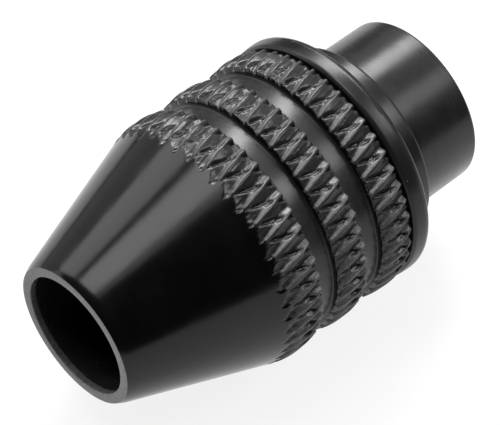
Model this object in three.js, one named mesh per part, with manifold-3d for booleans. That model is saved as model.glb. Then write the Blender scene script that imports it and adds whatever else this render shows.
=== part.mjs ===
// Keyless three-jaw drill chuck for a small rotary tool, in millimetres.
//
// The chuck's axis is Y. The nose points to -Y, and the origin is the centre of the hub's rear face.
// The chuck is drawn fully open: the sleeve is unscrewed to its stop and the jaws stand apart.
// Depths along the axis are counted from the nose face of the open chuck.
//
// How it works: the sleeve screws along the hub, and its inner cone pushes the three jaws towards
// the axis. The jaws slide in T-slots in the hub's front face, and small springs spread them apart.

import * as THREE from 'three';
import { mergeVertices } from 'three/addons/utils/BufferGeometryUtils.js';
import Module from 'manifold-3d';

const wasm = await Module();
wasm.setup();

// ---- Driving dimensions ----

const LENGTH = 33.1;
const NOSE_RADIUS = 5.66;
const NOSE_FLAT_RADIUS = 5.55;
const NOSE_BEVEL_END = 0.35;
const CONE_END_RADIUS = 9.69;
const CONE_LENGTH = 11.4;
const TAPER = (CONE_END_RADIUS - NOSE_RADIUS) / CONE_LENGTH;

// The sleeve's three knurled bands and the smooth grooves between them.
const BANDS = [[11.65, 14.5], [16.15, 18.85], [20.55, 23.2]];
const BAND_CREST_RADIUS = 10;
const BAND_CROWN = 0.22;
const GROOVE_RADIUS = 9.1;
const KNURL_TEETH = 46;
const KNURL_DEPTH = 0.3;
const KNURL_ROWS = 5;

// The sleeve's hollow: a short land at the nose, the jaw cone, and a straight threaded bore.
const MOUTH_RADIUS = 4.76;
const MOUTH_LAND = 0.45;
const SLEEVE_BORE_RADIUS = 8.3;
const NECK_RADIUS = 9;
const NECK_START = 23.25;
const NECK_END = 24.2;

// The end cap pressed over the sleeve's neck, and the stop washer that it holds.
const CAP_START = 23.4;
const CAP_END = 25;
const CAP_LIP = 0.45;
const CAP_LIP_RADIUS = 7.98;
const CAP_CORNER_RADIUS = 0.45;
const CAP_FRONT_CHAMFER = 0.25;
const PRESS_GAP = 0.04;
const WASHER_START = 24.25;
const WASHER_THICKNESS = 0.25;
const WASHER_RADII = [8, 8.9];

// The hub: a screwed front part, a plain shoulder that the cap's lip slides on, and a rear barrel.
const HUB_START = 15.7;
const HUB_THREAD_RADIUS = 8.2;
const HUB_THREAD_END = 24.15;
const HUB_SHOULDER_RADIUS = 7.88;
const HUB_SHOULDER_END = 27.13;
const HUB_BARREL_RADIUS = 6.72;
const SPINDLE_BORE_RADIUS = 3.6;
const SPINDLE_BORE_START = 22.5;
const SPINDLE_MOUTH_RADIUS = 4.1;
const PILOT_HOLE_RADIUS = 1.8;
const SMALL_CHAMFER = 0.15;
const CHAMFER = 0.25;

// Screwing the sleeve on by its full travel moves each jaw inwards by the travel times the taper.
const SLEEVE_TRAVEL = 4.2;
const JAW_TRAVEL = SLEEVE_TRAVEL * TAPER;
const RUNNING_GAP = 0.08;

// A jaw: a third of a cone with a T-shaped tail.
const JAW_COUNT = 3;
const JAW_HALF_ANGLE = Math.PI / JAW_COUNT;
const JAW_START = 4.7;
const JAW_END = 15.5;
const JAW_SIDE_GAP = 0.06;
const GRIP_RADIUS = 0.15;
const LEAD_IN_RADIUS = 1.3;
const LEAD_IN_LENGTH = 1.2;
const TAIL_INNER = 1.9;
const TAIL_OUTER = 6.2;
const TAIL_NECK_WIDTH = 2.2;
const TAIL_HEAD_WIDTH = 3.8;
const TAIL_HEAD_START = 16.8;
const TAIL_HEAD_END = 18.1;
const SLOT_CLEARANCE = 0.1;

// A spring stands in a pair of facing blind holes between two jaws.
const SPRING_DEPTH = 12.5;
const SPRING_PITCH_RADIUS = 4;
const SPRING_HOLE_RADIUS = 0.8;
const SPRING_HOLE_DEPTH = 1.3;
const SPRING_RADIUS = 0.56;
const SPRING_WIRE_RADIUS = 0.13;
const SPRING_TURNS = 5;
const SPRING_END_GAP = 0.05;

// ---- Facets ----

const ROUND_FACETS = 64;
const HOLE_FACETS = 16;
const CORNER_FACETS = 3;
const WIRE_SIDES = 5;
const STEPS_PER_TURN = 10;
const OVERCUT = 0.5;
const MERGE_DISTANCE = 1e-4;

// ---- Materials ----

const blackSteel = new THREE.MeshStandardMaterial({ color: 0x202124, roughness: 0.36, metalness: 0.85 });
const blackCap = new THREE.MeshStandardMaterial({ color: 0x1b1c1e, roughness: 0.42, metalness: 0.85 });
const hubSteel = new THREE.MeshStandardMaterial({ color: 0x252629, roughness: 0.4, metalness: 0.85 });
const jawSteel = new THREE.MeshStandardMaterial({ color: 0x3a3b3d, roughness: 0.45, metalness: 0.9 });
const brightSteel = new THREE.MeshStandardMaterial({ color: 0x9a9b9d, roughness: 0.3, metalness: 1 });

// ---- Helpers ----

/** The Y place of a depth behind the nose face. */
function at(depth) {
  return depth - LENGTH;
}

/** One corner of a turned outline. */
function corner(radius, depth) {
  return new THREE.Vector2(radius, at(depth));
}

/** Turns a closed outline about the Y axis. The outline runs outwards along its front face. */
function turned(outline, facets = ROUND_FACETS) {
  return new THREE.LatheGeometry([...outline, outline[0].clone()], facets);
}

/** A closed three.js geometry as a manifold solid. */
function toSolid(geometry) {
  const bare = geometry.clone();
  bare.deleteAttribute('normal');
  bare.deleteAttribute('uv');
  const merged = mergeVertices(bare, MERGE_DISTANCE);
  const corners = merged.getIndex().array;
  const triangles = [];
  for (let i = 0; i < corners.length; i += 3) {
    const [a, b, c] = corners.slice(i, i + 3);
    if (a !== b && b !== c && c !== a) triangles.push(a, b, c);
  }
  return new wasm.Manifold(new wasm.Mesh({
    numProp: 3,
    vertProperties: merged.getAttribute('position').array,
    triVerts: new Uint32Array(triangles),
  }));
}

/** A manifold solid as a three.js geometry. */
function toGeometry(solid) {
  const mesh = solid.getMesh();
  const geometry = new THREE.BufferGeometry();
  geometry.setAttribute('position', new THREE.BufferAttribute(mesh.vertProperties, 3));
  geometry.setIndex(new THREE.BufferAttribute(mesh.triVerts, 1));
  geometry.computeVertexNormals();
  return geometry;
}

/** A named sub-part. */
function piece(name, geometry, material) {
  const mesh = new THREE.Mesh(geometry, material);
  mesh.name = name;
  return mesh;
}

/** The angle about Y of jaw number index, from +Z towards +X. */
function jawAngle(index) {
  return (index * 2 * Math.PI) / JAW_COUNT;
}

/** The sleeve's inner cone radius at a depth of the open chuck. */
function innerCone(depth) {
  return MOUTH_RADIUS + (depth - MOUTH_LAND) * TAPER;
}

/** A block that runs out from the axis along +Z: a tangential width, a radial span, a depth span. */
function radialBlock(width, innerRadius, outerRadius, startDepth, endDepth) {
  const block = new THREE.BoxGeometry(width, endDepth - startDepth, outerRadius - innerRadius);
  return block.translate(0, at((startDepth + endDepth) / 2), (innerRadius + outerRadius) / 2);
}

// ---- Knurled sleeve ----

/** The rows of one crowned band, which bulges in an arc between its two edges. */
function bandOutline([start, end]) {
  const rows = [];
  for (let row = 0; row < KNURL_ROWS; row += 1) {
    const across = row / (KNURL_ROWS - 1);
    const fromMiddle = 2 * across - 1;
    const radius = BAND_CREST_RADIUS - BAND_CROWN * fromMiddle ** 2;
    rows.push(corner(radius, start + (end - start) * across));
  }
  return rows;
}

/** The rounded floor of the groove between two bands, without its top edges. */
function grooveOutline(start, end) {
  const edgeRadius = BAND_CREST_RADIUS - BAND_CROWN;
  return [1 / 12, 1 / 4, 3 / 4, 11 / 12].map((across) => {
    const wall = Math.abs(2 * across - 1) ** 6;
    return corner(GROOVE_RADIUS + (edgeRadius - GROOVE_RADIUS) * wall, start + (end - start) * across);
  });
}

/** Lowers every second corner of the knurled rows, which leaves a field of small pyramids. */
function cutKnurl(geometry, outlineRows, knurledRows) {
  const position = geometry.getAttribute('position');
  for (let facet = 0; facet <= 2 * KNURL_TEETH; facet += 1) {
    for (const row of knurledRows.filter((each) => (facet + each) % 2 === 1)) {
      const index = facet * outlineRows + row;
      const x = position.getX(index);
      const z = position.getZ(index);
      const lowered = 1 - KNURL_DEPTH / Math.hypot(x, z);
      position.setX(index, x * lowered);
      position.setZ(index, z * lowered);
    }
  }
  return geometry;
}

function knurledSleeve() {
  const outline = [
    corner(MOUTH_RADIUS, 0),
    corner(NOSE_FLAT_RADIUS, 0),
    corner(NOSE_RADIUS + NOSE_BEVEL_END * TAPER, NOSE_BEVEL_END),
    corner(CONE_END_RADIUS, CONE_LENGTH),
  ];
  const knurledRows = [];
  BANDS.forEach((band, index) => {
    if (index > 0) outline.push(...grooveOutline(BANDS[index - 1][1], band[0]));
    const rows = bandOutline(band);
    rows.forEach((row, offset) => knurledRows.push(outline.length + offset));
    outline.push(...rows);
  });
  outline.push(
    corner(NECK_RADIUS, NECK_START),
    corner(NECK_RADIUS, NECK_END),
    corner(SLEEVE_BORE_RADIUS, NECK_END),
    corner(SLEEVE_BORE_RADIUS, MOUTH_LAND + (SLEEVE_BORE_RADIUS - MOUTH_RADIUS) / TAPER),
    corner(MOUTH_RADIUS, MOUTH_LAND),
  );
  const geometry = turned(outline, 2 * KNURL_TEETH);
  return piece('knurled_sleeve', cutKnurl(geometry, outline.length + 1, knurledRows), blackSteel);
}

// ---- End cap and stop washer ----

function endCap() {
  const outline = [
    corner(NECK_RADIUS + PRESS_GAP, CAP_START),
    corner(BAND_CREST_RADIUS - CAP_FRONT_CHAMFER, CAP_START),
    corner(BAND_CREST_RADIUS, CAP_START + CAP_FRONT_CHAMFER),
  ];
  for (let step = 0; step <= CORNER_FACETS; step += 1) {
    const angle = (step / CORNER_FACETS) * (Math.PI / 2);
    const radius = BAND_CREST_RADIUS - CAP_CORNER_RADIUS * (1 - Math.cos(angle));
    outline.push(corner(radius, CAP_END - CAP_CORNER_RADIUS * (1 - Math.sin(angle))));
  }
  outline.push(
    corner(CAP_LIP_RADIUS, CAP_END),
    corner(CAP_LIP_RADIUS, CAP_END - CAP_LIP),
    corner(NECK_RADIUS + PRESS_GAP, CAP_END - CAP_LIP),
  );
  return piece('end_cap', turned(outline), blackCap);
}

function stopWasher() {
  const [inner, outer] = WASHER_RADII;
  const outline = [
    corner(inner, WASHER_START),
    corner(outer, WASHER_START),
    corner(outer, WASHER_START + WASHER_THICKNESS),
    corner(inner, WASHER_START + WASHER_THICKNESS),
  ];
  return piece('stop_washer', turned(outline), brightSteel);
}

// ---- Hub ----

/** The T-shaped slot that guides one jaw's tail, running out from the axis along +Z. */
function tailSlot() {
  const slotOuter = HUB_THREAD_RADIUS + OVERCUT;
  const neckWidth = TAIL_NECK_WIDTH + 2 * SLOT_CLEARANCE;
  const headWidth = TAIL_HEAD_WIDTH + 2 * SLOT_CLEARANCE;
  const headStart = TAIL_HEAD_START - SLOT_CLEARANCE;
  const headEnd = TAIL_HEAD_END + SLOT_CLEARANCE;
  const neck = radialBlock(neckWidth, 0, slotOuter, HUB_START - OVERCUT, (headStart + headEnd) / 2);
  const head = radialBlock(headWidth, 0, slotOuter, headStart, headEnd);
  return [neck, head];
}

function hub() {
  const outline = [
    corner(PILOT_HOLE_RADIUS, HUB_START),
    corner(HUB_THREAD_RADIUS - CHAMFER, HUB_START),
    corner(HUB_THREAD_RADIUS, HUB_START + CHAMFER),
    corner(HUB_THREAD_RADIUS, HUB_THREAD_END),
    corner(HUB_SHOULDER_RADIUS, HUB_THREAD_END),
    corner(HUB_SHOULDER_RADIUS, HUB_SHOULDER_END - SMALL_CHAMFER),
    corner(HUB_SHOULDER_RADIUS - SMALL_CHAMFER, HUB_SHOULDER_END),
    corner(HUB_BARREL_RADIUS, HUB_SHOULDER_END),
    corner(HUB_BARREL_RADIUS, LENGTH - CHAMFER),
    corner(HUB_BARREL_RADIUS - CHAMFER, LENGTH),
    corner(SPINDLE_MOUTH_RADIUS, LENGTH),
    corner(SPINDLE_BORE_RADIUS, LENGTH - (SPINDLE_MOUTH_RADIUS - SPINDLE_BORE_RADIUS)),
    corner(SPINDLE_BORE_RADIUS, SPINDLE_BORE_START),
    corner(PILOT_HOLE_RADIUS, SPINDLE_BORE_START),
  ];
  let solid = toSolid(turned(outline));
  for (let index = 0; index < JAW_COUNT; index += 1) {
    for (const block of tailSlot()) {
      solid = solid.subtract(toSolid(block.rotateY(jawAngle(index))));
    }
  }
  return piece('hub', toGeometry(solid), hubSteel);
}

// ---- Jaws ----

/** The wedge between a jaw's two flat sides, cut off short of the axis by the gripping edge. */
function jawWedge() {
  const reach = SLEEVE_BORE_RADIUS;
  const halfWidth = (radius) => radius * Math.tan(JAW_HALF_ANGLE) - JAW_SIDE_GAP / Math.cos(JAW_HALF_ANGLE);
  const section = new THREE.Shape([
    new THREE.Vector2(-halfWidth(GRIP_RADIUS), GRIP_RADIUS),
    new THREE.Vector2(halfWidth(GRIP_RADIUS), GRIP_RADIUS),
    new THREE.Vector2(halfWidth(reach), reach),
    new THREE.Vector2(-halfWidth(reach), reach),
  ]);
  const depth = JAW_END - JAW_START + 2 * OVERCUT;
  const wedge = new THREE.ExtrudeGeometry(section, { depth, bevelEnabled: false });
  return wedge.rotateX(Math.PI / 2).translate(0, at(JAW_END + OVERCUT), 0);
}

/** A blind spring hole in one flat side of a jaw: side is 1 towards +X and -1 towards -X. */
function springHole(side) {
  const length = SPRING_HOLE_DEPTH + JAW_SIDE_GAP + OVERCUT;
  const hole = new THREE.CylinderGeometry(SPRING_HOLE_RADIUS, SPRING_HOLE_RADIUS, length, HOLE_FACETS);
  hole.rotateZ(Math.PI / 2);
  hole.translate(side * (OVERCUT - length / 2), at(SPRING_DEPTH), SPRING_PITCH_RADIUS);
  return hole.rotateY(side * JAW_HALF_ANGLE);
}

/** A jaw along +Z, in the place that it has when the chuck is fully closed. */
function closedJaw() {
  const frontRadius = innerCone(JAW_START - SLEEVE_TRAVEL) - RUNNING_GAP;
  const rearRadius = SLEEVE_BORE_RADIUS - JAW_TRAVEL - RUNNING_GAP;
  const round = turned([
    corner(0, JAW_START),
    corner(frontRadius, JAW_START),
    corner(rearRadius, JAW_START + (rearRadius - frontRadius) / TAPER),
    corner(rearRadius, JAW_END),
    corner(0, JAW_END),
  ]);
  const leadIn = new THREE.ConeGeometry(LEAD_IN_RADIUS, LEAD_IN_LENGTH, HOLE_FACETS);
  leadIn.translate(0, at(JAW_START) + LEAD_IN_LENGTH / 2, 0);
  const neckEnd = (TAIL_HEAD_START + TAIL_HEAD_END) / 2;
  const neck = radialBlock(TAIL_NECK_WIDTH, TAIL_INNER, TAIL_OUTER, JAW_END - OVERCUT, neckEnd);
  const head = radialBlock(TAIL_HEAD_WIDTH, TAIL_INNER, TAIL_OUTER, TAIL_HEAD_START, TAIL_HEAD_END);
  return toGeometry(
    toSolid(round)
      .intersect(toSolid(jawWedge()))
      .subtract(toSolid(leadIn))
      .subtract(toSolid(springHole(1)))
      .subtract(toSolid(springHole(-1)))
      .add(toSolid(neck))
      .add(toSolid(head)),
  );
}

function jaw(index) {
  const angle = jawAngle(index);
  const mesh = piece(`jaw_${index + 1}`, closedJaw(), jawSteel);
  mesh.rotation.y = angle;
  mesh.position.set(JAW_TRAVEL * Math.sin(angle), 0, JAW_TRAVEL * Math.cos(angle));
  return mesh;
}

// ---- Jaw springs ----

/** The centre line of a coil spring along X, centred on the origin. */
class CoilPath extends THREE.Curve {
  constructor(length) {
    super();
    this.length = length;
  }

  getPoint(t, target = new THREE.Vector3()) {
    const angle = 2 * Math.PI * SPRING_TURNS * t;
    return target.set(
      this.length * (t - 0.5),
      SPRING_RADIUS * Math.sin(angle),
      SPRING_RADIUS * Math.cos(angle),
    );
  }
}

/** A round wire drawn along a coil path. */
function coil(length) {
  const section = new THREE.Shape();
  for (let side = 0; side < WIRE_SIDES; side += 1) {
    const angle = (2 * Math.PI * side) / WIRE_SIDES;
    const x = SPRING_WIRE_RADIUS * Math.cos(angle);
    const y = SPRING_WIRE_RADIUS * Math.sin(angle);
    if (side === 0) section.moveTo(x, y);
    else section.lineTo(x, y);
  }
  return new THREE.ExtrudeGeometry(section, {
    extrudePath: new CoilPath(length),
    steps: SPRING_TURNS * STEPS_PER_TURN,
    bevelEnabled: false,
  });
}

/** The spring between jaw number index and the next one. */
function jawSpring(index) {
  const halfSpread = JAW_TRAVEL * Math.sin(JAW_HALF_ANGLE) + JAW_SIDE_GAP + SPRING_HOLE_DEPTH;
  const length = 2 * (halfSpread - SPRING_END_GAP - SPRING_WIRE_RADIUS);
  const radius = SPRING_PITCH_RADIUS + JAW_TRAVEL * Math.cos(JAW_HALF_ANGLE);
  const angle = jawAngle(index) + JAW_HALF_ANGLE;
  const mesh = piece(`jaw_spring_${index + 1}`, coil(length), brightSteel);
  mesh.rotation.y = angle;
  mesh.position.set(radius * Math.sin(angle), at(SPRING_DEPTH), radius * Math.cos(angle));
  return mesh;
}

// ---- Assembly ----

const chuck = new THREE.Group();
chuck.add(knurledSleeve(), endCap(), stopWasher(), hub());
for (let index = 0; index < JAW_COUNT; index += 1) {
  chuck.add(jaw(index), jawSpring(index));
}

export default chuck;
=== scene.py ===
"""The looks of a keyless rotary-tool drill chuck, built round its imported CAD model.

The chuck's axis is Y and its nose points to -Y. Lengths are in millimetres until a mesh is finished,
and depths along the axis are counted from the nose face of the open chuck, as in the CAD source.
"""
import math

import bmesh
import bpy
import numpy as np
from mathutils import Matrix, Vector

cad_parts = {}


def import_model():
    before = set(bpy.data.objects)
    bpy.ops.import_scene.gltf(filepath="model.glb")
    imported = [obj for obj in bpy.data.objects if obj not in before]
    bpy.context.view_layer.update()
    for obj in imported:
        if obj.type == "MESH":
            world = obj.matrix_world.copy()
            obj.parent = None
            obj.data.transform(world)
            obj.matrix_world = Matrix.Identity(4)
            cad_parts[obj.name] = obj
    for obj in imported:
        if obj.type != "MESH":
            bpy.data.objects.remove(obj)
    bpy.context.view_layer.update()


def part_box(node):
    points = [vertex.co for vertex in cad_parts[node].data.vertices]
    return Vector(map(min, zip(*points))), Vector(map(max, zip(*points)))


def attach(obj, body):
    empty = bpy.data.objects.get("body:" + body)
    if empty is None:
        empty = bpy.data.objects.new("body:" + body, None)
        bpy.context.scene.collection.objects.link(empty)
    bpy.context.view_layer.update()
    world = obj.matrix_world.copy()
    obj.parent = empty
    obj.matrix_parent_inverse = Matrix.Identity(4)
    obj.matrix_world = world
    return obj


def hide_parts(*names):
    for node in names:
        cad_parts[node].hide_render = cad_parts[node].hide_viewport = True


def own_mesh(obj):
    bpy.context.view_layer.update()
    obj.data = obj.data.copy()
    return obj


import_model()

MM = 0.001

# ---- Places read from the frame, in millimetres ----

SLEEVE_LOW, SLEEVE_HIGH = (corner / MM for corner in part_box("knurled_sleeve"))
CAP_LOW, CAP_HIGH = (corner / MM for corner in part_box("end_cap"))
WASHER_LOW, WASHER_HIGH = (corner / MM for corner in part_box("stop_washer"))
HUB_LOW, HUB_HIGH = (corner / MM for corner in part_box("hub"))
JAW_LOW, JAW_HIGH = (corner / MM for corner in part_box("jaw_1"))
SPRING_LOW, SPRING_HIGH = (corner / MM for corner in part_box("jaw_spring_2"))
NOSE_Y = SLEEVE_LOW.y
CREST_RADIUS = SLEEVE_HIGH.x
LENGTH = HUB_HIGH.y - NOSE_Y

# ---- Sleeve: its smooth outline ----

NOSE_RADIUS = 5.66
NOSE_FLAT_RADIUS = 5.55
NOSE_FACE_DEPTH = 0.05
NOSE_BEVEL_END = 0.35
NOSE_ROUNDING = 0.4
CONE_END_RADIUS = 9.69
CONE_LENGTH = 11.4
CONE_RING_DEPTHS = (2, 3.5)
CONE_RINGS = 6
TAPER = (CONE_END_RADIUS - NOSE_RADIUS) / CONE_LENGTH
BANDS = [(11.65, 14.5), (16.15, 18.85), (20.55, 23.2)]
BAND_CROWN = 0.2
GROOVE_RADIUS = 9.1
GROOVE_TOP_RADIUS = 9.38
GROOVE_LIP = 0.03
GROOVE_FOOT_RADIUS = GROOVE_RADIUS + 0.06
GROOVE_FOOT_LENGTH = 0.38
GROOVE_ROUNDINGS = (0.1, 0.2, 0.18)
MOUTH_RADIUS = 4.76
MOUTH_LAND = 0.45
MOUTH_EDGE = 0.1
MOUTH_SATIN_DEPTH = 1.0
LAND_EDGE = 0.04
SLEEVE_BORE_RADIUS = 8.3
NECK_RADIUS = 9.0
NECK_START = 23.25
NECK_SEAM = 0.03
NECK_FILLET = 0.1
NECK_EDGE = 0.12

# ---- Sleeve: its knurl ----

# Family A is a comb of sharp ridges that run right across each band. From each ridge the metal drops
# gently to a valley, and then climbs steeply to the next ridge. Family B is a lower set that crosses A.
# Within the knurl the mesh columns follow A, and B climbs one column a row, so both lie on mesh edges.
KNURL_TEETH = 46
KNURL_STEPS = 16
KNURL_DEPTH = 0.42
TOOTH_VARIETY = 0.09
RIDGE_A_SLOPE = math.radians(-1.48)
RIDGE_A_START = math.radians(-1.8)
RIDGE_A_VALLEY = 10.8 / KNURL_STEPS
RIDGE_A_TIP = 3.2 / KNURL_STEPS
RIDGE_A_LAND = 1.15
TIP_LENGTH = 0.8
RIDGE_B_PITCH = 2.3
RIDGE_B_START = 4
RIDGE_B_HEIGHT = 0.72
RIDGE_B_MIDDLE = 0.5
RIDGE_B_TOP = 0.01
CUT_B_DEPTH = 0.8
CUT_B_PLACE = -2.5 / KNURL_STEPS
CUT_B_HALF_WIDTH = 2.8 / KNURL_STEPS
ROW_STEP = RIDGE_B_PITCH / KNURL_STEPS
FRONT_LIFT = 0.32
FRONT_LIFT_SHARE = 0.45
RUNOUT_ROWS = 6
RUNOUT_LIFT = 0.005
DRAG_MARK_DEPTH = 0.018
GRAIN_DEPTH = 0.007
CLEAN_RIDGE = 0.95
# Off the ridges, WALL_RIDGE leaves the front row of bands 2 and 3 glossy black: painted shade on their
# front walls.
WALL_RIDGE = 0.9
POCKET_FADE = 6
# POCKET_SHADE darkens the colour in the knurl's pockets to glossy black: painted shade.
POCKET_SHADE = 1.4
POCKET_EDGE = 0.1

# Wear is how much of a material's light worn colour shows, before its chips are taken away. On the nose
# ring it is worn bare metal and painted sheen, on the land inside the mouth a painted reflection, on the
# knurl's steep flanks a painted highlight, and on the crests of families A and B wear.
NOSE_WEAR_AND_SHEEN = 1.05
LAND_SHEEN = 0.9
RIDGE_A_WEAR = 0.8
RIDGE_B_WEAR = 0.3
FLANK_SHEEN = 1.0

# ---- End cap and stop washer ----

# The cap's crowned front edge, as (drop below its crest, distance behind its front, rounding).
CAP_FRONT_EDGE = [(0.22, 0, 0.05), (0.06, 0.2, 0.1), (0, 0.75, 0.3)]
CAP_REAR_ROUNDING = 0.55
CAP_BORE_EDGE = 0.06
CAP_LIP = 0.45
CAP_LIP_RADIUS = 7.98
CAP_LIP_EDGE = 0.1
PRESS_GAP = 0.04
WASHER_BORE_RADIUS = 8.0
FINE_EDGE = 0.05

# ---- Hub ----

THREAD_ROWS = 10
THREAD_FLAT = 0.125
HUB_COLUMNS = 192
HUB_FRONT_CHAMFER = (0.6, 0.5)
HUB_THREAD_END = 24.15
HUB_THREAD_PITCH = 1.5
HUB_THREAD_DEPTH = 0.55
# Distances in front of the thread's end: its last ring, and the relief groove's floor and rear top.
HUB_RELIEF = (0.9, 0.6, 0.3, 0.25)
HUB_RELIEF_RADIUS = 7.55
HUB_THREAD_EDGE = 0.04
HUB_SHOULDER_RADIUS = 7.88
HUB_SHOULDER_END = 27.13
HUB_SHOULDER_ROUNDING = 0.28
HUB_BARREL_RADIUS = 6.72
HUB_BARREL_FILLET = 0.3
HUB_BARREL_ROUNDING = 0.22
SPINDLE_BORE_RADIUS = 3.6
SPINDLE_BORE_START = 22.5
SPINDLE_BORE_POINT = 0.2
SPINDLE_MOUTH_RADIUS = 4.1
SPINDLE_MOUTH_EDGE = 0.08
SPINDLE_CHAMFER = 0.44
SPINDLE_THREAD_GAP = 0.01
SPINDLE_THREAD_PITCH = 0.75
SPINDLE_THREAD_DEPTH = 0.4
# Distances behind the bore's start: the last thread ring, and the relief groove's rear and front.
SPINDLE_RELIEF = (0.8, 0.6, 0.25)
PILOT_HOLE_RADIUS = 1.8
PILOT_CHAMFER = 0.15

# ---- Jaws and springs ----

# The hub's slots and the jaws' tails are T-shaped. Each pair is a width and the depth at which it ends.
SLOT_NECK = (2.4, 16.7)
SLOT_HEAD = (4.0, 18.2)
TAIL_NECK = (2.2, 16.8)
TAIL_HEAD_WIDTH = 3.8
TAIL_SPAN = (1.9, 6.2)
OVERCUT = 0.5
JAW_COUNT = 3
SLEEVE_TRAVEL = 4.2
JAW_TRAVEL = SLEEVE_TRAVEL * TAPER
JAW_SIDE_GAP = 0.06
JAW_CORE_RADIUS = 0.02
JAW_CONE_LENGTH = 5.76
JAW_BODY_END = 15.5
JAW_FRONT_ROUNDING = 0.15
JAW_CONE_ROUNDING = 0.3
JAW_REAR_ROUNDING = 0.15
JAW_BEVEL = 0.07
WEDGE_RADIUS = 9
GRIP_RADIUS = 0.15
LEAD_IN = (1.3, 1.2)
LEAD_IN_OVERCUT = 0.1
SPRING_DEPTH = 12.5
SPRING_PITCH_RADIUS = 4.0
SPRING_HOLE = (0.8, 1.3)
SPRING_RADIUS = 0.56
SPRING_WIRE_RADIUS = 0.13
SPRING_TURNS = 6
SPRING_STEPS = 28
SPRING_SIDES = 10
SPRING_STRETCH = 1.04
SPRING_CLOSING = 0.72
SPRING_END_SHARE = 0.2
SPRING_END_CURVE = 1.25

# ---- Surfaces ----

# Noise patterns, as (repeats a metre, detail, roughness), and the range that most of their noise lies in.
LATHE = (9000.0, 2.0, 0.6)
COARSE_LATHE = (1600.0, 2.0, 0.5)
GRAIN = (7000.0, 3.0, 0.6)
CHIPS = (3500.0, 3.0, 0.7)
CLOUDS = (420.0, 4.0, 0.55)
SWELL = (380.0, 2.0, 0.5)
MOTTLE = (60.0, 4.0, 0.5)
NOISE_LOW, NOISE_HIGH = 0.3, 0.7
# How far the patterns change a metal's tone, its roughness, and the share of the light worn colour, which
# is partly painted sheen, that shows.
CLOUD_TONE = (0.8, 1.25)
LATHE_TONE = (0.9, 1.12)
CLOUD_ROUGHNESS = (0.88, 1.15)
LATHE_ROUGHNESS = (-0.01, 0.015)
CHIP_NOISE = (0.35, 0.7)
CHIP_SHARE = (0.45, 1.05)
COOLNESS = 1.02
BLACK_SPECULAR = 0.3
# Bump heights are in metres, and dust is in repeats a metre and shares of a repeat.
WAVE_HEIGHT = 0.00004
WAVE_STRENGTH = 0.5
MARK_HEIGHT = 0.00002
DUST_SCALE = 800.0
DUST_SIZE = (0.02, 0.035)
DUST_BARE_SHARE = 0.8
DUST_TONE = 0.25

# ---- Camera, floor and light ----

CAMERA_AZIMUTH = math.radians(47.05)
CAMERA_ELEVATION = math.radians(48.97)
CAMERA_DISTANCE = 171.8
CAMERA_REACH = (0.01, 20)
AIM_RIGHT = 12.13
AIM_UP = 8.55
LENS = 178.9
SENSOR_WIDTH = 36
FLOOR_RADIUS = 0.15
FLOOR_SIDES = 96
FLOOR_TONE = 0.15
FLOOR_MOTTLE = (0.985, 1.0)
FLOOR_ROUGHNESS = 0.9
FLOOR_SPECULAR = 0.1
FLOOR_GLOW = 0.85
WORLD_GLOW = 0.01
LIGHT_DISTANCE = 0.5
# Each softbox's name, around, along, width, height and radiance, as softbox() takes them.
SOFTBOXES = [
    ("overhead_softbox", -12, -5, 27, 32, 4.0),
    ("overhead_skirt", -8, -5, 35, 32, 1.7),
    ("left_softbox", -47, -3, 26, 34, 3.6),
    ("left_fill", -75, -4, 34, 40, 0.6),
    ("left_front", -80, -36, 44, 30, 1.6),
    ("rear_key", -31, 27, 18, 28, 19.0),
    ("rear_right", 32, 28, 18, 24, 7.5),
    ("rear_fill", -10, 50, 90, 60, 0.6),
]

SEED = 46
rng = np.random.default_rng(SEED)


# ---- Mesh helpers ----

def at(depth):
    """The Y place, in millimetres, of a depth behind the nose face."""
    return NOSE_Y + depth


def new_object(name, data):
    """An object in the scene that shows a mesh, light or camera."""
    made = bpy.data.objects.new(name, data)
    bpy.context.scene.collection.objects.link(made)
    return made


def mesh_from(name, points, faces):
    """A mesh from lists of points and faces."""
    mesh = bpy.data.meshes.new(name)
    mesh.from_pydata([tuple(p) for p in points], [], [tuple(f) for f in faces])
    mesh.update()
    return mesh


def rounded(corners, steps=3):
    """A closed outline of (radius, depth, rounding) corners, with each rounded corner as a short curve."""
    points = []
    count = len(corners)
    for index, (radius, depth, rounding) in enumerate(corners):
        here = np.array([radius, depth])
        if rounding == 0:
            points.append(here)
            continue
        before = np.array(corners[index - 1][:2]) - here
        after = np.array(corners[(index + 1) % count][:2]) - here
        start = here + before / np.linalg.norm(before) * rounding
        end = here + after / np.linalg.norm(after) * rounding
        for t in np.linspace(0, 1, steps + 1):
            points.append((1 - t) ** 2 * start + 2 * t * (1 - t) * here + t ** 2 * end)
    return np.array(points)


def ring_faces(rows, columns):
    """Quads of a closed tube of rings, whose last ring joins its first. They face out of the outline."""
    row, column = np.meshgrid(np.arange(rows), np.arange(columns), indexing="ij")
    next_row = (row + 1) % rows
    next_column = (column + 1) % columns
    corners = [(row, column), (row, next_column), (next_row, next_column), (next_row, column)]
    return np.stack([r * columns + c for r, c in corners], axis=-1).reshape(-1, 4)


def ring_points(radius, depth, angle):
    """Points in the frame of rings, from arrays of radius, depth and angle about Y from +Z to +X."""
    x = radius * np.sin(angle)
    z = radius * np.cos(angle)
    return np.stack([x, np.broadcast_to(at(depth), x.shape), z], axis=-1).reshape(-1, 3)


def turned(name, outline, columns=160):
    """A solid of revolution about Y from a closed outline of (radius, depth) points."""
    radius, depth = (outline[:, axis, None] for axis in (0, 1))
    angle = np.linspace(0, 2 * math.pi, columns, endpoint=False)[None, :]
    points = ring_points(radius, depth, angle + 0 * radius)
    return mesh_from(name, points, ring_faces(len(outline), columns))


def finish_mesh(name, mesh, sharp_angle=30):
    """Scales a millimetre mesh to metres, shades it smooth except at sharp edges, and makes its object."""
    mesh.transform(Matrix.Scale(MM, 4))
    mesh.shade_smooth()
    mesh.set_sharp_from_angle(angle=math.radians(sharp_angle))
    mesh.name = name
    return new_object(name, mesh)


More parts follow.
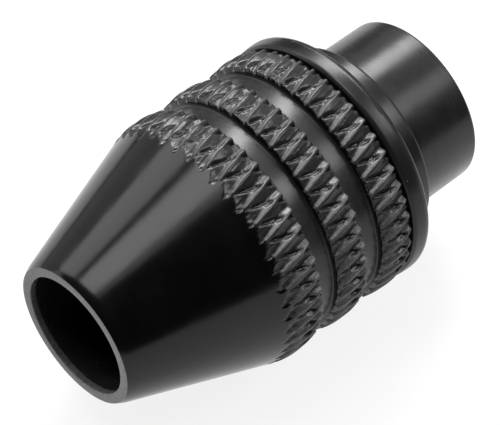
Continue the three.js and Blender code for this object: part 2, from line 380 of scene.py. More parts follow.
def combined(mesh, steps):
    """A mesh after a chain of booleans. steps are (operation, mesh) pairs."""
    base = new_object("work", mesh)
    tools = []
    for operation, tool_mesh in steps:
        tool = new_object("tool", tool_mesh)
        tools.append(tool)
        modifier = base.modifiers.new("cut", "BOOLEAN")
        modifier.operation = operation
        modifier.solver = "EXACT"
        modifier.object = tool
    bpy.context.view_layer.update()
    result = applied(base)
    for tool in tools:
        bpy.data.objects.remove(tool)
    return result


def applied(obj):
    """The mesh of an object with its modifiers applied. The object is removed."""
    depsgraph = bpy.context.evaluated_depsgraph_get()
    result = bpy.data.meshes.new_from_object(obj.evaluated_get(depsgraph))
    bpy.data.objects.remove(obj)
    return result


def bevelled(mesh, width, segments=2, angle=32):
    """A mesh with its edges sharper than angle, in degrees, bevelled."""
    base = new_object("work", mesh)
    modifier = base.modifiers.new("edges", "BEVEL")
    modifier.width = width
    modifier.segments = segments
    modifier.limit_method = "ANGLE"
    modifier.angle_limit = math.radians(angle)
    bpy.context.view_layer.update()
    return applied(base)


def capped(points, sides, name):
    """A closed mesh from rings of points that follow each other, with a flat face over each end."""
    count = len(points) // sides
    faces = []
    for ring in range(count - 1):
        here, after = ring * sides, (ring + 1) * sides
        for i in range(sides):
            j = (i + 1) % sides
            faces.append([here + i, here + j, after + j, after + i])
    faces.append(list(range(sides))[::-1])
    faces.append(list(range((count - 1) * sides, count * sides)))
    mesh = mesh_from(name, points, faces)
    fix_normals(mesh)
    return mesh


def prism(outline, start, end, place):
    """A prism of a flat outline: place(u, v, w) puts an outline point at a station w from start to end."""
    points = [place(u, v, w) for w in (start, end) for u, v in outline]
    return capped(points, len(outline), "prism")


def cylinder(radius_start, radius_end, start, end, place, sides=40):
    """A round tool between two stations along w: place(u, v, w) puts it in the frame."""
    angles = np.linspace(0, 2 * math.pi, sides, endpoint=False)
    points = [place(r * math.cos(a), r * math.sin(a), w)
              for r, w in ((radius_start, start), (radius_end, end)) for a in angles]
    return capped(points, sides, "round")


def along_axis(u, v, w):
    """Puts u sideways and v upwards, at the depth w."""
    return u, at(w), v


def upwards(u, v, w):
    """Puts u sideways, at the depth v and the height w."""
    return u, at(v), w


def fix_normals(mesh):
    """Turns every face of a closed mesh outwards."""
    working = bmesh.new()
    working.from_mesh(mesh)
    bmesh.ops.recalc_face_normals(working, faces=working.faces)
    working.to_mesh(mesh)
    working.free()


def turn(mesh, angle):
    """Turns a mesh about the chuck's axis, from +Z towards +X."""
    mesh.transform(Matrix.Rotation(angle, 4, "Y"))
    return mesh


def jaw_angle(index):
    """A jaw's angle about the axis. Jaw 0 is at +Z."""
    return 2 * math.pi * index / JAW_COUNT


# ---- Knurled sleeve ----

def smooth_step(t):
    """An S-shaped rise from 0, for t of 0 or less, to 1, for t of 1 or more."""
    t = min(max(t, 0.0), 1.0)
    return t * t * (3 - 2 * t)


def ridge(phase):
    """1 on a ridge line and 0 midway to the next one."""
    return 1 - 2 * np.abs(phase - np.round(phase))


def ridge_a(phase, land, valley):
    """The height of family A: 1 on each ridge's land, and 0 in its valley, which is at the phase valley."""
    place = phase % 1
    height = np.where(place < valley, 1 - place / valley, (place - valley) / (1 - valley))
    return np.minimum(1, land * height)


def knurl_net(steps, row, across):
    """The knurl's height, its share of light colour (wear on the crests, a painted highlight on the steep
    flanks) and its pocket depth, from 0 to 1, at one row of the columns in steps.

    across runs from -1 at a band's front edge to 1 at its rear one. B is highest at both edges. At the
    front edge A's valleys lie close to the next ridge, which gives the ridges pointed tips there.
    """
    valley = RIDGE_A_VALLEY + RIDGE_A_TIP * (1 - smooth_step((1 + across) / TIP_LENGTH))
    family_a = ridge_a(steps / KNURL_STEPS, RIDGE_A_LAND if row >= 0 else 1.0, valley)
    phase_b = (steps - row - RIDGE_B_START) / KNURL_STEPS
    height_b = RIDGE_B_HEIGHT * (RIDGE_B_MIDDLE + (1 - RIDGE_B_MIDDLE) * abs(across))
    family_b = height_b * ridge(phase_b)
    beside = phase_b - CUT_B_PLACE
    cut = CUT_B_DEPTH * np.clip(1 - np.abs(beside - np.round(beside)) / CUT_B_HALF_WIDTH, 0, 1)
    pocket = cut * (1 - family_a ** POCKET_FADE)
    net = np.clip(np.maximum(family_a, family_b) - pocket, 0, 1)
    column = steps % KNURL_STEPS
    crest_b = (family_b > family_a) & (family_b > height_b - RIDGE_B_TOP)
    # The steep flanks take the light colour as a painted highlight; the crests of A and B take it as wear.
    steep_flank = (column > valley * KNURL_STEPS + 0.5) & (pocket < POCKET_EDGE)
    wear_and_sheen = np.maximum(FLANK_SHEEN * steep_flank, RIDGE_B_WEAR * crest_b)
    return net, np.where(column == 0, RIDGE_A_WEAR, wear_and_sheen), pocket


def band_rows(band):
    """How many rows of mesh cross a band."""
    return round((band[1] - band[0]) / ROW_STEP)


def cone_radius(depth):
    """The radius of the nose's cone at a depth."""
    return NOSE_RADIUS + depth * TAPER


def sleeve_rings():
    """The sleeve's rings, as (depth, radius or None, band, row, twist). A ring with no radius is knurled.

    twist is the depth that sets how far a ring's points have turned with family A. It stays the same along
    the smooth cone and all through the hollow, because the long faces there would sag if they were twisted.
    """
    rings = []
    runout_start = BANDS[0][0] - (RUNOUT_ROWS + 1) * ROW_STEP
    knurl_end = BANDS[-1][1]

    def plain(corners, hollow=False):
        """Adds smooth rings."""
        for radius, depth in corners:
            twist = knurl_end if hollow else min(max(depth, runout_start), knurl_end)
            rings.append((depth, radius, None, 0, twist))

    mouth = rounded([(MOUTH_RADIUS, MOUTH_LAND, 0), (MOUTH_RADIUS, 0, MOUTH_EDGE),
                     (NOSE_FLAT_RADIUS, 0, 0)])
    plain(mouth[:-1], hollow=True)
    first, second = CONE_RING_DEPTHS
    plain(rounded([(NOSE_FLAT_RADIUS, 0, 0), (cone_radius(NOSE_BEVEL_END), NOSE_BEVEL_END, NOSE_ROUNDING),
                   (cone_radius(first), first, 0)], steps=5))
    plain((cone_radius(depth), depth) for depth in np.linspace(second, runout_start, CONE_RINGS))
    for number, band in enumerate(BANDS):
        rows = band_rows(band)
        step = (band[1] - band[0]) / rows
        first_row = 0 if number else -RUNOUT_ROWS
        for row in range(first_row, rows + 1):
            depth = band[0] + row * step
            rings.append((depth, None, number, row, depth))
        if number < len(BANDS) - 1:
            plain(groove_outline(band[1], BANDS[number + 1][0]))
    plain(rear_outline(), hollow=True)
    return rings


def groove_outline(start, end):
    """The smooth groove between two bands: steep sides, and a floor with rounded corners."""
    front, floor_front, floor_rear = GROOVE_ROUNDINGS
    return rounded([(GROOVE_TOP_RADIUS, start + GROOVE_LIP, 0),
                    (GROOVE_FOOT_RADIUS, start + 2 * GROOVE_LIP, front),
                    (GROOVE_RADIUS, start + GROOVE_FOOT_LENGTH, floor_front),
                    (GROOVE_RADIUS, end - 2 * GROOVE_LIP, floor_rear),
                    (GROOVE_TOP_RADIUS, end - GROOVE_LIP, 0)])


def rear_outline():
    """The sleeve's neck, its rear end, the bore that holds the thread, and the cone inside the nose."""
    end = SLEEVE_HIGH.y - NOSE_Y
    bore_start = MOUTH_LAND + (SLEEVE_BORE_RADIUS - MOUTH_RADIUS) / TAPER
    return rounded([(GROOVE_TOP_RADIUS, NECK_START, 0), (NECK_RADIUS, NECK_START + NECK_SEAM, NECK_FILLET),
                    (NECK_RADIUS, end, NECK_EDGE), (SLEEVE_BORE_RADIUS, end, NECK_EDGE),
                    (SLEEVE_BORE_RADIUS, bore_start, 0),
                    (MOUTH_RADIUS + LAND_EDGE * TAPER, MOUTH_LAND + LAND_EDGE, 0)])


def point_attribute(mesh, name, rows):
    """Stores one number a point, which a material can read, from rows of numbers."""
    made = mesh.attributes.new(name, "FLOAT", "POINT")
    made.data.foreach_set("value", np.concatenate(rows).astype(np.float32))


def drag_marks(columns):
    """Faint lines left along family A by the knurling wheel: one height for each column and band end."""
    return DRAG_MARK_DEPTH * rng.standard_normal((len(BANDS), 2, columns))


def sleeve_faces(rings, columns):
    """The sleeve's quads, with those of the knurl split along family B."""
    faces = ring_faces(len(rings), columns)
    knurled = np.array([ring[1] is None for ring in rings])
    in_band = knurled & np.roll(knurled, -1)
    split = np.repeat(in_band, columns)
    quads = faces[split]
    return faces[~split].tolist() + quads[:, [0, 1, 2]].tolist() + quads[:, [0, 2, 3]].tolist()


def soften_knurl(mesh, rings, columns):
    """Leaves sharp edges only outside the knurl, whose crests are slightly rounded."""
    knurled = np.array([ring[1] is None for ring in rings])
    ends = np.empty(2 * len(mesh.edges), dtype=np.int32)
    mesh.edges.foreach_get("vertices", ends)
    inside = knurled[ends.reshape(-1, 2) // columns].all(axis=1)
    sharp = np.empty(len(mesh.edges), dtype=bool)
    attribute = mesh.attributes["sharp_edge"]
    attribute.data.foreach_get("value", sharp)
    attribute.data.foreach_set("value", sharp & ~inside)


def nose_wear_and_sheen(radius, depth):
    """The light colour of the nose's flat ring, worn bare metal with a painted sheen, and less of it on the
    land inside the mouth, where it is a painted reflection.
    """
    if depth <= NOSE_FACE_DEPTH:
        return NOSE_WEAR_AND_SHEEN if radius <= NOSE_FLAT_RADIUS else 0.0
    return LAND_SHEEN if radius <= MOUTH_RADIUS else 0.0


def plain_ring(depth, radius, columns):
    """The radius, light colour share and satin share of each point of a smooth ring. The groove floors and
    the hollow are satin; the top rings of the groove walls are glossy black, a painted shade on the walls.
    """
    in_mouth = radius < MOUTH_RADIUS + TAPER * MOUTH_SATIN_DEPTH
    # The top rings of the groove walls stay glossy black: painted shade on the walls.
    in_groove = depth > BANDS[0][0] and radius < GROOVE_TOP_RADIUS
    values = (radius, nose_wear_and_sheen(radius, depth), in_mouth or in_groove)
    return [np.full(columns, float(value)) for value in values]


def knurled_ring(depth, band, row, depth_of_step, marks):
    """The same for a ring of the knurl. Rows below 0 are the points that run out onto the cone."""
    start, end = BANDS[band]
    share = (depth - start) / (end - start)
    across = np.clip(2 * share - 1, -1, 1)
    envelope = CREST_RADIUS - BAND_CROWN * across ** 2
    net, wear_and_sheen, pocket = knurl_net(np.arange(len(depth_of_step)), row, across)
    shallower = 1 - FRONT_LIFT * (1 - smooth_step(share / FRONT_LIFT_SHARE))
    mark = (1 - share) * marks[band, 0] + share * marks[band, 1]
    rough = mark + GRAIN_DEPTH * rng.standard_normal(len(depth_of_step))
    radii = envelope - shallower * depth_of_step * (1 - net) + rough * (net < CLEAN_RIDGE)
    # The colour in the pockets is darkened to glossy black: painted shade.
    satin_and_shade = 1 - POCKET_SHADE * pocket
    # Off the ridges the front row of bands 2 and 3 is glossy black: painted shade on the front walls.
    if row == 0 and band > 0:
        satin_and_shade = satin_and_shade * (net > WALL_RIDGE)
    if row < 0:
        cone = cone_radius(depth)
        radii = np.minimum(radii - RUNOUT_LIFT * row, cone)
        wear_and_sheen = np.zeros(len(depth_of_step))
        satin_and_shade = satin_and_shade * (radii < cone)
    return radii, wear_and_sheen, satin_and_shade


def knurled_sleeve():
    """The nose, the three knurled bands, the neck and the hollow, as one closed mesh."""
    columns = KNURL_TEETH * KNURL_STEPS
    turns = np.arange(columns) * 2 * math.pi / columns
    depth_share = 1 + TOOTH_VARIETY * rng.standard_normal(KNURL_TEETH)
    depth_of_step = KNURL_DEPTH * np.repeat(depth_share, KNURL_STEPS)
    marks = drag_marks(columns)
    rings = sleeve_rings()
    points, wear_and_sheen, satin_and_shade = [], [], []
    for depth, radius, band, row, twist in rings:
        if radius is None:
            values = knurled_ring(depth, band, row, depth_of_step, marks)
        else:
            values = plain_ring(depth, radius, columns)
        angle = turns + RIDGE_A_START + RIDGE_A_SLOPE * (twist - BANDS[0][0])
        points.append(ring_points(values[0], depth, angle))
        wear_and_sheen.append(values[1])
        satin_and_shade.append(values[2])
    mesh = mesh_from("sleeve", np.concatenate(points), sleeve_faces(rings, columns))
    point_attribute(mesh, "wear_and_sheen", wear_and_sheen)
    point_attribute(mesh, "satin_and_shade", satin_and_shade)
    made = finish_mesh("sleeve_knurled", mesh, sharp_angle=24)
    soften_knurl(made.data, rings, columns)
    return made


# ---- End cap, stop washer and hub ----

def end_cap():
    """The smooth ring pressed onto the sleeve's neck. Its rear lip holds the stop washer in."""
    start, end = CAP_LOW.y - NOSE_Y, CAP_HIGH.y - NOSE_Y
    inner = NECK_RADIUS + PRESS_GAP
    front_edge = [(CREST_RADIUS - drop, start + back, rounding) for drop, back, rounding in CAP_FRONT_EDGE]
    rear = [(CREST_RADIUS, end, CAP_REAR_ROUNDING), (CAP_LIP_RADIUS, end, CAP_LIP_EDGE),
            (CAP_LIP_RADIUS, end - CAP_LIP, FINE_EDGE), (inner, end - CAP_LIP, FINE_EDGE)]
    outline = rounded([(inner, start, CAP_BORE_EDGE)] + front_edge + rear, steps=6)
    return finish_mesh("cap_ring", turned("cap", outline, columns=240))


def stop_washer():
    """The thin ring that meets the hub's thread shoulder when the chuck is fully open."""
    start, end = WASHER_LOW.y - NOSE_Y, WASHER_HIGH.y - NOSE_Y
    inner, outer = WASHER_BORE_RADIUS, WASHER_HIGH.x
    corners = [(inner, start), (outer, start), (outer, end), (inner, end)]
    outline = rounded([(radius, depth, FINE_EDGE) for radius, depth in corners])
    return finish_mesh("washer_stop", turned("washer", outline))


def thread_wave(depth, angle, pitch):
    """0 on a right-hand thread's crest and 1 in its root, both cut flat."""
    phase = depth / pitch - angle / (2 * math.pi)
    return np.clip((1 + 2 * THREAD_FLAT) * (1 - ridge(phase)) - THREAD_FLAT, 0, 1)


def hub_rings():
    """The hub's rings as (radius, depth, kind), where kind names the thread that the ring carries."""
    front = HUB_LOW.y - NOSE_Y
    thread_radius = HUB_HIGH.x
    relief_radius = SPINDLE_BORE_RADIUS + SPINDLE_THREAD_DEPTH
    rings = []

    def plain(corners, steps=3):
        """Adds rings that carry no thread."""
        rings.extend((radius, depth, None) for radius, depth in rounded(corners, steps))

    def threaded(kind, radius, start, end, pitch):
        """Adds a thread's rings."""
        count = round(abs(end - start) / pitch * THREAD_ROWS)
        rings.extend((radius, depth, kind) for depth in np.linspace(start, end, count))

    plain([(PILOT_HOLE_RADIUS, front + PILOT_CHAMFER, 0), (PILOT_HOLE_RADIUS + PILOT_CHAMFER, front, 0),
           (thread_radius - HUB_FRONT_CHAMFER[0], front, 0)])
    threaded("sleeve", thread_radius, front + HUB_FRONT_CHAMFER[1], HUB_THREAD_END - HUB_RELIEF[0],
             HUB_THREAD_PITCH)
    plain([(HUB_RELIEF_RADIUS, HUB_THREAD_END - HUB_RELIEF[1], 0),
           (HUB_RELIEF_RADIUS, HUB_THREAD_END - HUB_RELIEF[2], 0),
           (thread_radius, HUB_THREAD_END - HUB_RELIEF[3], 0),
           (thread_radius, HUB_THREAD_END, HUB_THREAD_EDGE),
           (HUB_SHOULDER_RADIUS, HUB_THREAD_END, 0),
           (HUB_SHOULDER_RADIUS, HUB_SHOULDER_END, HUB_SHOULDER_ROUNDING),
           (HUB_BARREL_RADIUS, HUB_SHOULDER_END, HUB_BARREL_FILLET),
           (HUB_BARREL_RADIUS, LENGTH, HUB_BARREL_ROUNDING),
           (SPINDLE_MOUTH_RADIUS, LENGTH, SPINDLE_MOUTH_EDGE),
           (SPINDLE_BORE_RADIUS, LENGTH - SPINDLE_CHAMFER, 0)], steps=4)
    threaded("spindle", SPINDLE_BORE_RADIUS, LENGTH - SPINDLE_CHAMFER - SPINDLE_THREAD_GAP,
             SPINDLE_BORE_START + SPINDLE_RELIEF[0], SPINDLE_THREAD_PITCH)
    plain([(relief_radius, SPINDLE_BORE_START + SPINDLE_RELIEF[1], 0),
           (relief_radius, SPINDLE_BORE_START + SPINDLE_RELIEF[2], 0),
           (SPINDLE_BORE_RADIUS, SPINDLE_BORE_START, 0),
           (PILOT_HOLE_RADIUS, SPINDLE_BORE_START - SPINDLE_BORE_POINT, 0)])
    return rings


def t_outline(neck, head, start):
    """A T of (sideways, depth) points. neck and head are each a width and the depth at which it ends."""
    (neck_width, neck_end), (head_width, head_end) = neck, head
    n, h = neck_width / 2, head_width / 2
    return [(-n, start), (n, start), (n, neck_end), (h, neck_end),
            (h, head_end), (-h, head_end), (-h, neck_end), (-n, neck_end)]


def tail_slot(angle):
    """The cutter for one T-shaped slot in the hub's front face."""
    outline = t_outline(SLOT_NECK, SLOT_HEAD, HUB_LOW.y - NOSE_Y - OVERCUT)
    return turn(prism(outline, 0.0, HUB_HIGH.x + 2 * OVERCUT, upwards), angle)


def hub():
    """The screw that everything else rides on, with both of its threads cut as real helices."""
    angle = np.linspace(0, 2 * math.pi, HUB_COLUMNS, endpoint=False)
    threads = {"sleeve": (HUB_THREAD_PITCH, -HUB_THREAD_DEPTH),
               "spindle": (SPINDLE_THREAD_PITCH, SPINDLE_THREAD_DEPTH)}
    points = []
    rings = hub_rings()
    for radius, depth, kind in rings:
        radii = np.full(HUB_COLUMNS, float(radius))
        if kind:
            pitch, reach = threads[kind]
            radii += reach * thread_wave(depth, angle, pitch)
        points.append(ring_points(radii, depth, angle))
    mesh = mesh_from("hub", np.concatenate(points), ring_faces(len(rings), HUB_COLUMNS))
    mesh = combined(mesh, [("DIFFERENCE", tail_slot(jaw_angle(k))) for k in range(JAW_COUNT)])
    return finish_mesh("hub_threaded", mesh, sharp_angle=28)


# ---- Jaws and springs ----

def spring_hole(side):
    """The cutter for the blind spring hole in one flat of a jaw: side is 1 for +X and -1 for -X."""
    radius, depth = SPRING_HOLE

    def across_flat(u, v, w):
        return side * w, at(SPRING_DEPTH) + u, SPRING_PITCH_RADIUS + v

    hole = cylinder(radius, radius, -depth - JAW_SIDE_GAP, OVERCUT, across_flat)
    return turn(hole, side * math.pi / JAW_COUNT)


def wedge_point(side, radius):
    """A corner of a jaw's wedge, on its flat towards +X where side is 1, and -X where side is -1."""
    return side * (radius * math.sqrt(3) - 2 * JAW_SIDE_GAP), radius


def closed_jaw():
    """A jaw along +Z, in the place that it has when the chuck is fully closed, in millimetres."""
    front, tail_end = JAW_LOW.y - NOSE_Y, JAW_HIGH.y - NOSE_Y
    rear_radius = JAW_HIGH.z - JAW_TRAVEL
    front_radius = rear_radius - TAPER * JAW_CONE_LENGTH
    outline = rounded([(JAW_CORE_RADIUS, front, 0), (front_radius, front, JAW_FRONT_ROUNDING),
                       (rear_radius, front + JAW_CONE_LENGTH, JAW_CONE_ROUNDING),
                       (rear_radius, JAW_BODY_END, JAW_REAR_ROUNDING), (JAW_CORE_RADIUS, JAW_BODY_END, 0)])
    wedge = [wedge_point(-1, GRIP_RADIUS), wedge_point(1, GRIP_RADIUS),
             wedge_point(1, WEDGE_RADIUS), wedge_point(-1, WEDGE_RADIUS)]
    lead_radius, lead_depth = LEAD_IN
    lead_in = cylinder(lead_radius + LEAD_IN_OVERCUT, JAW_CORE_RADIUS,
                       front - LEAD_IN_OVERCUT, front + lead_depth, along_axis)
    tail = t_outline(TAIL_NECK, (TAIL_HEAD_WIDTH, tail_end), JAW_BODY_END - OVERCUT)
    steps = [("INTERSECT", prism(wedge, front - 2 * OVERCUT, JAW_BODY_END + 2 * OVERCUT, along_axis)),
             ("DIFFERENCE", lead_in),
             ("DIFFERENCE", spring_hole(1)),
             ("DIFFERENCE", spring_hole(-1)),
             ("UNION", prism(tail, *TAIL_SPAN, upwards))]
    return bevelled(combined(turned("jaw", outline, columns=96), steps), JAW_BEVEL)


def jaw(index, mesh):
    """A jaw at rest, fully open, from the mesh of closed_jaw()."""
    angle = jaw_angle(index)
    copy = turn(mesh.copy(), angle)
    copy.transform(Matrix.Translation((JAW_TRAVEL * math.sin(angle), 0, JAW_TRAVEL * math.cos(angle))))
    return finish_mesh(f"jaw_ground_{index + 1}", copy, sharp_angle=35)


def spring_reach(t, half):
    """The place along a spring, from -half to half, for t from -1 to 1. Its end turns are drawn close."""
    end = np.sign(t)
    curve = end * (1 - (1 - np.abs(t)) ** SPRING_END_CURVE)
    closing = np.clip((np.abs(t) - SPRING_CLOSING) / (1 - SPRING_CLOSING), 0, 1)
    end_turns = SPRING_END_SHARE * curve + (1 - SPRING_END_SHARE) * end
    along = half * ((1 - closing) * t * SPRING_STRETCH + closing * end_turns)
    return np.clip(np.maximum.accumulate(along), -half, half)


def spring_mesh(half):
    """A coil of round wire about X, whose centre line runs from -half to half."""
    t = np.linspace(-1, 1, SPRING_TURNS * SPRING_STEPS + 1)
    coil_angle = math.pi * SPRING_TURNS * t
    sine, cosine = np.sin(coil_angle), np.cos(coil_angle)
    centre = np.stack([spring_reach(t, half), SPRING_RADIUS * sine, SPRING_RADIUS * cosine], 1)
    tangent = np.gradient(centre, axis=0)
    tangent /= np.linalg.norm(tangent, axis=1, keepdims=True)
    outward = np.stack([0 * t, sine, cosine], 1)
    outward -= tangent * np.sum(outward * tangent, axis=1, keepdims=True)
    outward /= np.linalg.norm(outward, axis=1, keepdims=True)
    across = np.cross(tangent, outward)
    around = np.linspace(0, 2 * math.pi, SPRING_SIDES, endpoint=False)[None, :, None]
    section = np.cos(around) * outward[:, None] + np.sin(around) * across[:, None]
    points = (centre[:, None] + SPRING_WIRE_RADIUS * section).reshape(-1, 3)
    return capped(points, SPRING_SIDES, "spring")


def coil_spring(index):
    """A spring between two jaws, with the direction of its length and the end that stays put."""
    half = (SPRING_HIGH.x - SPRING_LOW.x) / 2 - SPRING_WIRE_RADIUS
    angle = jaw_angle(index) + math.pi / JAW_COUNT
    radius = SPRING_PITCH_RADIUS + JAW_TRAVEL * math.cos(math.pi / JAW_COUNT)
    middle = Vector((radius * math.sin(angle), at(SPRING_DEPTH), radius * math.cos(angle)))
    mesh = turn(spring_mesh(half), angle)
    mesh.transform(Matrix.Translation(middle))
    made = finish_mesh(f"spring_coil_{index + 1}", mesh, sharp_angle=60)
    direction = Vector((math.cos(angle), 0, -math.sin(angle)))
    anchor = (middle - direction * (half + SPRING_WIRE_RADIUS)) * MM
    return made, direction, anchor


# ---- Materials ----

class Nodes:
    """A small builder for a material's node tree."""

    def __init__(self, name):
        self.material = bpy.data.materials.new(name)
        self.material.use_nodes = True
        self.tree = self.material.node_tree
        self.shader = self.tree.nodes["Principled BSDF"]

    def add(self, kind, inputs=None, **settings):
        """A new node, with its settings and with values or links for its inputs."""
        made = self.tree.nodes.new(kind)
        for key, value in settings.items():
            setattr(made, key, value)
        for key, value in (inputs or {}).items():
            self.feed(made.inputs[key], value)
        return made

    def feed(self, socket, value):
        """Links an input to another node's output, or sets it to a plain value."""
        if isinstance(value, bpy.types.NodeSocket):
            self.tree.links.new(value, socket)
        else:
            socket.default_value = value

    def math(self, operation, first, second=0.0, clamp=False):
        """The result of one sum on one or two values."""
        made = self.add("ShaderNodeMath", {0: first, 1: second}, operation=operation, use_clamp=clamp)
        return made.outputs[0]

    def mix(self, factor, first, second):
        """A colour from first, where factor is 0, to second, where it is 1."""
        made = self.add("ShaderNodeMix", data_type="RGBA")
        self.feed(made.inputs["Factor"], factor)
        self.feed(made.inputs[6], first)
        self.feed(made.inputs[7], second)
        return made.outputs[2]

    def remap(self, value, low, high, to_low, to_high):
        """A value that runs from to_low to to_high as another runs from low to high."""
        made = self.add("ShaderNodeMapRange", {
            "Value": value, "From Min": low, "From Max": high, "To Min": to_low, "To Max": to_high})
        return made.outputs[0]

    def spread(self, noise, low, high):
        """Noise, whose values lie mostly near the middle, spread from low to high."""
        return self.remap(noise, NOISE_LOW, NOISE_HIGH, low, high)

    def noise(self, vector, scale, detail, roughness):
        """Noise from 0 to 1 at the places that vector gives."""
        made = self.add("ShaderNodeTexNoise", {
            "Vector": vector, "Scale": scale, "Detail": detail, "Roughness": roughness})
        return made.outputs["Fac"]


def grey(value):
    """A very slightly cool grey."""
    return (value, value, value * COOLNESS, 1.0)


def turned_coordinates(nodes):
    """Coordinates that change along the chuck's axis and with the radius, but not round the axis."""
    place = nodes.add("ShaderNodeTexCoord").outputs["Object"]
    parts = nodes.add("ShaderNodeSeparateXYZ", {0: place})
    square = nodes.math("ADD", nodes.math("MULTIPLY", parts.outputs[0], parts.outputs[0]),
                        nodes.math("MULTIPLY", parts.outputs[2], parts.outputs[2]))
    radius = nodes.math("SQRT", square)
    turned_place = nodes.add("ShaderNodeCombineXYZ", {0: radius, 1: parts.outputs[1], 2: 0.0})
    return place, turned_place.outputs[0]


def dust_specks(nodes, place):
    """1 in a few round specks, each about a twentieth of a millimetre across."""
    cells = nodes.add("ShaderNodeTexVoronoi", {"Vector": place, "Scale": DUST_SCALE})
    near = nodes.remap(cells.outputs["Distance"], *DUST_SIZE, 1.0, 0.0)
    chosen = nodes.add("ShaderNodeSeparateColor", {0: cells.outputs["Color"]}).outputs[0]
    return nodes.math("MULTIPLY", near, nodes.math("GREATER_THAN", chosen, DUST_BARE_SHARE), clamp=True)


def metal_normal(nodes, place, lathe, lathe_bump, grain_bump):
    """The normal of turned metal: broad waves, then lathe marks, then grain, each on top of the last."""
    swell = nodes.noise(place, *SWELL)
    grain = nodes.noise(place, *GRAIN)
    waves = nodes.add("ShaderNodeBump", {
        "Strength": WAVE_STRENGTH, "Distance": WAVE_HEIGHT, "Height": swell})
    marks = nodes.add("ShaderNodeBump", {
        "Strength": lathe_bump, "Distance": MARK_HEIGHT, "Height": lathe, "Normal": waves.outputs[0]})
    fine = nodes.add("ShaderNodeBump", {
        "Strength": grain_bump, "Distance": MARK_HEIGHT, "Height": grain, "Normal": marks.outputs[0]})
    return fine.outputs[0]


def metal(name, base, roughness, metallic=0.0, lathe_bump=0.05, grain_bump=0.05, worn_and_sheen=None, satin_and_shade=None,
          specular=0.5, dust=None):
    """Turned metal: fine lathe marks round the axis, a faint grain, handling marks, and painted sheen and
    shade.

    The worn colour is a light grey that shows where the mesh's wear share is 1: worn metal on the nose ring
    and the knurl's crests, and painted sheen, highlight and reflection on the nose ring, the knurl's steep
    flanks and the land in the mouth. The satin pair is the (base, roughness) that the metal has where the
    mesh's satin share is 1; where that share drops in the knurl's pockets and on the front and groove
    walls, the glossy black base that remains is painted shade. dust is the colour of a few tiny specks.
    """
    nodes = Nodes(name)
    place, turned_place = turned_coordinates(nodes)
    lathe = nodes.noise(turned_place, *LATHE)
    coarse_lathe = nodes.noise(turned_place, *COARSE_LATHE)
    clouds = nodes.noise(place, *CLOUDS)
    tone = nodes.math("MULTIPLY", nodes.spread(clouds, *CLOUD_TONE),
                      nodes.spread(coarse_lathe, *LATHE_TONE))
    rough = nodes.spread(clouds, *CLOUD_ROUGHNESS)
    if satin_and_shade:
        share = nodes.add("ShaderNodeAttribute", attribute_name="satin_and_shade").outputs["Fac"]
        tone = nodes.math("MULTIPLY", tone, nodes.remap(share, 0.0, 1.0, 1.0, satin_and_shade[0] / base))
        rough = nodes.math("MULTIPLY", rough, nodes.remap(share, 0.0, 1.0, 1.0, satin_and_shade[1] / roughness))
    shade = nodes.add("ShaderNodeVectorMath", {0: grey(base)[:3], "Scale": tone}, operation="SCALE")
    colour = shade.outputs[0]
    if worn_and_sheen:
        # The light colour shows worn metal, and painted sheen, highlight and reflection, where the mesh
        # asks for it.
        edge = nodes.add("ShaderNodeAttribute", attribute_name="wear_and_sheen").outputs["Fac"]
        chips = nodes.remap(nodes.noise(place, *CHIPS), *CHIP_NOISE, *CHIP_SHARE)
        colour = nodes.mix(nodes.math("MULTIPLY", edge, chips, clamp=True), colour, grey(worn_and_sheen))
    if dust:
        colour = nodes.mix(dust_specks(nodes, place), colour, grey(dust))
    rough = nodes.math("MULTIPLY", rough, roughness)
    rough = nodes.math("ADD", rough, nodes.spread(lathe, *LATHE_ROUGHNESS), clamp=True)
    inputs = nodes.shader.inputs
    inputs["Metallic"].default_value = metallic
    inputs["Specular IOR Level"].default_value = specular
    nodes.feed(inputs["Base Color"], colour)
    nodes.feed(inputs["Roughness"], rough)
    nodes.feed(inputs["Normal"], metal_normal(nodes, place, lathe, lathe_bump, grain_bump))
    return nodes.material


def floor_material():
    """White paper with a faint mottle, and a glow of its own that keeps it white in the renders."""
    nodes = Nodes("floor_paper")
    place = nodes.add("ShaderNodeTexCoord").outputs["Object"]
    tone = nodes.spread(nodes.noise(place, *MOTTLE), *FLOOR_MOTTLE)
    shade = nodes.add("ShaderNodeVectorMath", {0: (FLOOR_TONE,) * 3, "Scale": tone}, operation="SCALE")
    inputs = nodes.shader.inputs
    nodes.feed(inputs["Base Color"], shade.outputs[0])
    inputs["Roughness"].default_value = FLOOR_ROUGHNESS
    inputs["Specular IOR Level"].default_value = FLOOR_SPECULAR
    inputs["Emission Color"].default_value = (1, 1, 1, 1)
    inputs["Emission Strength"].default_value = FLOOR_GLOW
    return nodes.material


def coat(obj, material):
    """Gives an object one material."""
    obj.data.materials.clear()
    obj.data.materials.append(material)


# ---- Stage ----

def camera():
    """The camera, above the chuck's nose and on its +X side."""
    a, e = CAMERA_AZIMUTH, CAMERA_ELEVATION
    right = Vector((math.cos(a), math.sin(a), 0))
    ahead = Vector((-math.sin(a) * math.cos(e), math.cos(a) * math.cos(e), -math.sin(e)))
    up = right.cross(ahead)
    aim = Vector((0, NOSE_Y, 0)) + right * AIM_RIGHT + up * AIM_UP
    data = bpy.data.cameras.new("camera")
    data.sensor_width = SENSOR_WIDTH
    data.lens = LENS
    data.clip_start, data.clip_end = CAMERA_REACH
    made = new_object("camera", data)
    basis = Matrix((right, up, -ahead)).transposed()
    made.matrix_world = Matrix.Translation((aim - ahead * CAMERA_DISTANCE) * MM) @ basis.to_4x4()
    bpy.context.scene.camera = made


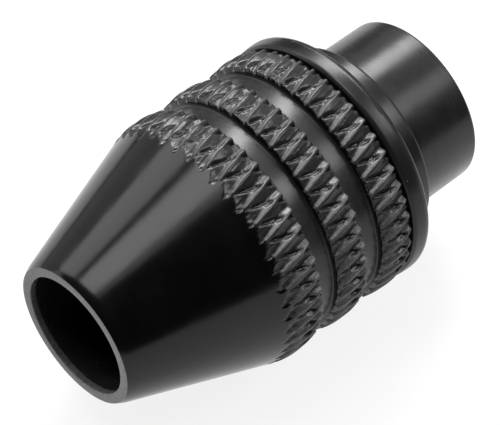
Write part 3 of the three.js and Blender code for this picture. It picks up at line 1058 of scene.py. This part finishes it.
def softbox(name, around, along, width, height, radiance):
    """A rectangular light that faces the chuck, with its edges along and across the chuck's axis.

    around is its angle in degrees about the axis from +Z towards +X, and along is its lean to the rear.
    width and height are its size in degrees round the axis and along it, as seen from the chuck.
    """
    data = bpy.data.lights.new(name, "AREA")
    data.shape = "RECTANGLE"
    data.size = 2 * LIGHT_DISTANCE * math.tan(math.radians(width) / 2)
    data.size_y = 2 * LIGHT_DISTANCE * math.tan(math.radians(height) / 2)
    data.energy = radiance * math.pi * data.size * data.size_y
    made = new_object(name, data)
    a, b = math.radians(around), math.radians(along)
    towards = Vector((math.sin(a) * math.cos(b), math.sin(b), math.cos(a) * math.cos(b)))
    across = Vector((0, 1, 0)).cross(towards).normalized()
    basis = Matrix((across, towards.cross(across), towards)).transposed()
    middle = Vector((0, NOSE_Y / 2, 0)) * MM
    made.matrix_world = Matrix.Translation(middle + towards * LIGHT_DISTANCE) @ basis.to_4x4()


def world():
    """A world that is white to the camera, and almost dark to everything else."""
    made = bpy.data.worlds.new("studio")
    bpy.context.scene.world = made
    made.use_nodes = True
    tree = made.node_tree
    background = tree.nodes["Background"]
    seen = tree.nodes.new("ShaderNodeLightPath")
    tone = tree.nodes.new("ShaderNodeMapRange")
    tone.inputs["To Min"].default_value = WORLD_GLOW
    tone.inputs["To Max"].default_value = 1.0
    tree.links.new(seen.outputs["Is Camera Ray"], tone.inputs["Value"])
    tree.links.new(tone.outputs[0], background.inputs["Strength"])
    background.inputs["Color"].default_value = (1, 1, 1, 1)


def floor():
    """A round sheet of pale paper that the chuck lies on."""
    angles = np.linspace(0, 2 * math.pi, FLOOR_SIDES, endpoint=False)
    z = -CREST_RADIUS * MM
    rim = [(FLOOR_RADIUS * math.cos(a), NOSE_Y * MM / 2 + FLOOR_RADIUS * math.sin(a), z) for a in angles]
    made = new_object("floor", mesh_from("floor", rim, [range(len(rim))]))
    coat(made, floor_material())


# ---- Assembly ----

def install(piece, node, body, material):
    """Puts a piece on its body, in place of its CAD node."""
    coat(piece, material)
    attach(piece, body)
    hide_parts(node)


def build():
    """Makes the whole scene."""
    camera()
    black = metal("sleeve_black_oxide", base=0.003, roughness=0.17, lathe_bump=0.03, grain_bump=0.07,
                  worn_and_sheen=0.13, satin_and_shade=(0.022, 0.27), specular=BLACK_SPECULAR, dust=DUST_TONE)
    cap_black = metal("cap_black_oxide", base=0.010, roughness=0.30, lathe_bump=0.03,
                      specular=BLACK_SPECULAR, dust=DUST_TONE)
    hub_black = metal("hub_black_oxide", base=0.014, roughness=0.25, lathe_bump=0.04,
                      specular=BLACK_SPECULAR, dust=DUST_TONE)
    jaw_steel = metal("jaw_ground_steel", base=0.06, roughness=0.36, metallic=0.6, lathe_bump=0.02,
                      grain_bump=0.15)
    washer_steel = metal("washer_bright_steel", base=0.42, roughness=0.32, metallic=1.0, lathe_bump=0.1,
                         grain_bump=0.1)
    spring_steel = metal("spring_bright_steel", base=0.5, roughness=0.25, metallic=1.0, lathe_bump=0.0,
                         grain_bump=0.1)
    install(knurled_sleeve(), "knurled_sleeve", "sleeve", black)
    install(end_cap(), "end_cap", "sleeve", cap_black)
    install(stop_washer(), "stop_washer", "stop_ring", washer_steel)
    install(hub(), "hub", "hub", hub_black)
    jaw_mesh = closed_jaw()
    for index, body in enumerate(("jaw_a", "jaw_b", "jaw_c")):
        install(jaw(index, jaw_mesh), f"jaw_{index + 1}", body, jaw_steel)
        spring, direction, anchor = coil_spring(index)
        install(spring, f"jaw_spring_{index + 1}", body, spring_steel)
        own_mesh(spring)
    bpy.data.meshes.remove(jaw_mesh)
    floor()
    for row in SOFTBOXES:
        softbox(*row)
    world()
    bpy.context.scene.view_settings.view_transform = "Standard"


build()
